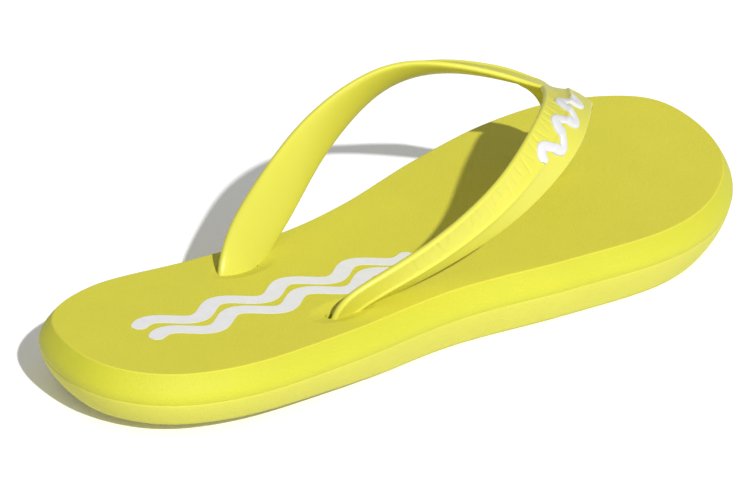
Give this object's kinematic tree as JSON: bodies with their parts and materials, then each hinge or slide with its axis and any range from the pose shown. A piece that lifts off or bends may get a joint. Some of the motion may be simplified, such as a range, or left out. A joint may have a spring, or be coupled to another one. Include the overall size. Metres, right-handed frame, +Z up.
{
  "type": "flip flop",
  "caption": "Right-foot thong sandal: two-layer foam sole with a one-piece V strap whose toe post and arms plug through the sole.",
  "frame": {"origin": "on the ground under the middle of the sole", "axes": "+X from heel to toe, +Y towards the inner side of the foot, +Z up"},
  "size_m": [0.2763, 0.1008, 0.0617],
  "materials": {
    "outsole_foam": "fine grained moulded foam",
    "footbed_foam": "fine matte grain",
    "strap_rubber": "smooth satin moulding",
    "white_rubber": "smooth satin"
  },
  "bodies": {
    "root": {"outsole": "outsole_foam", "footbed": "footbed_foam", "strap": "strap_rubber", "strap_badge": "white_rubber"}
  },
  "joints": []
}
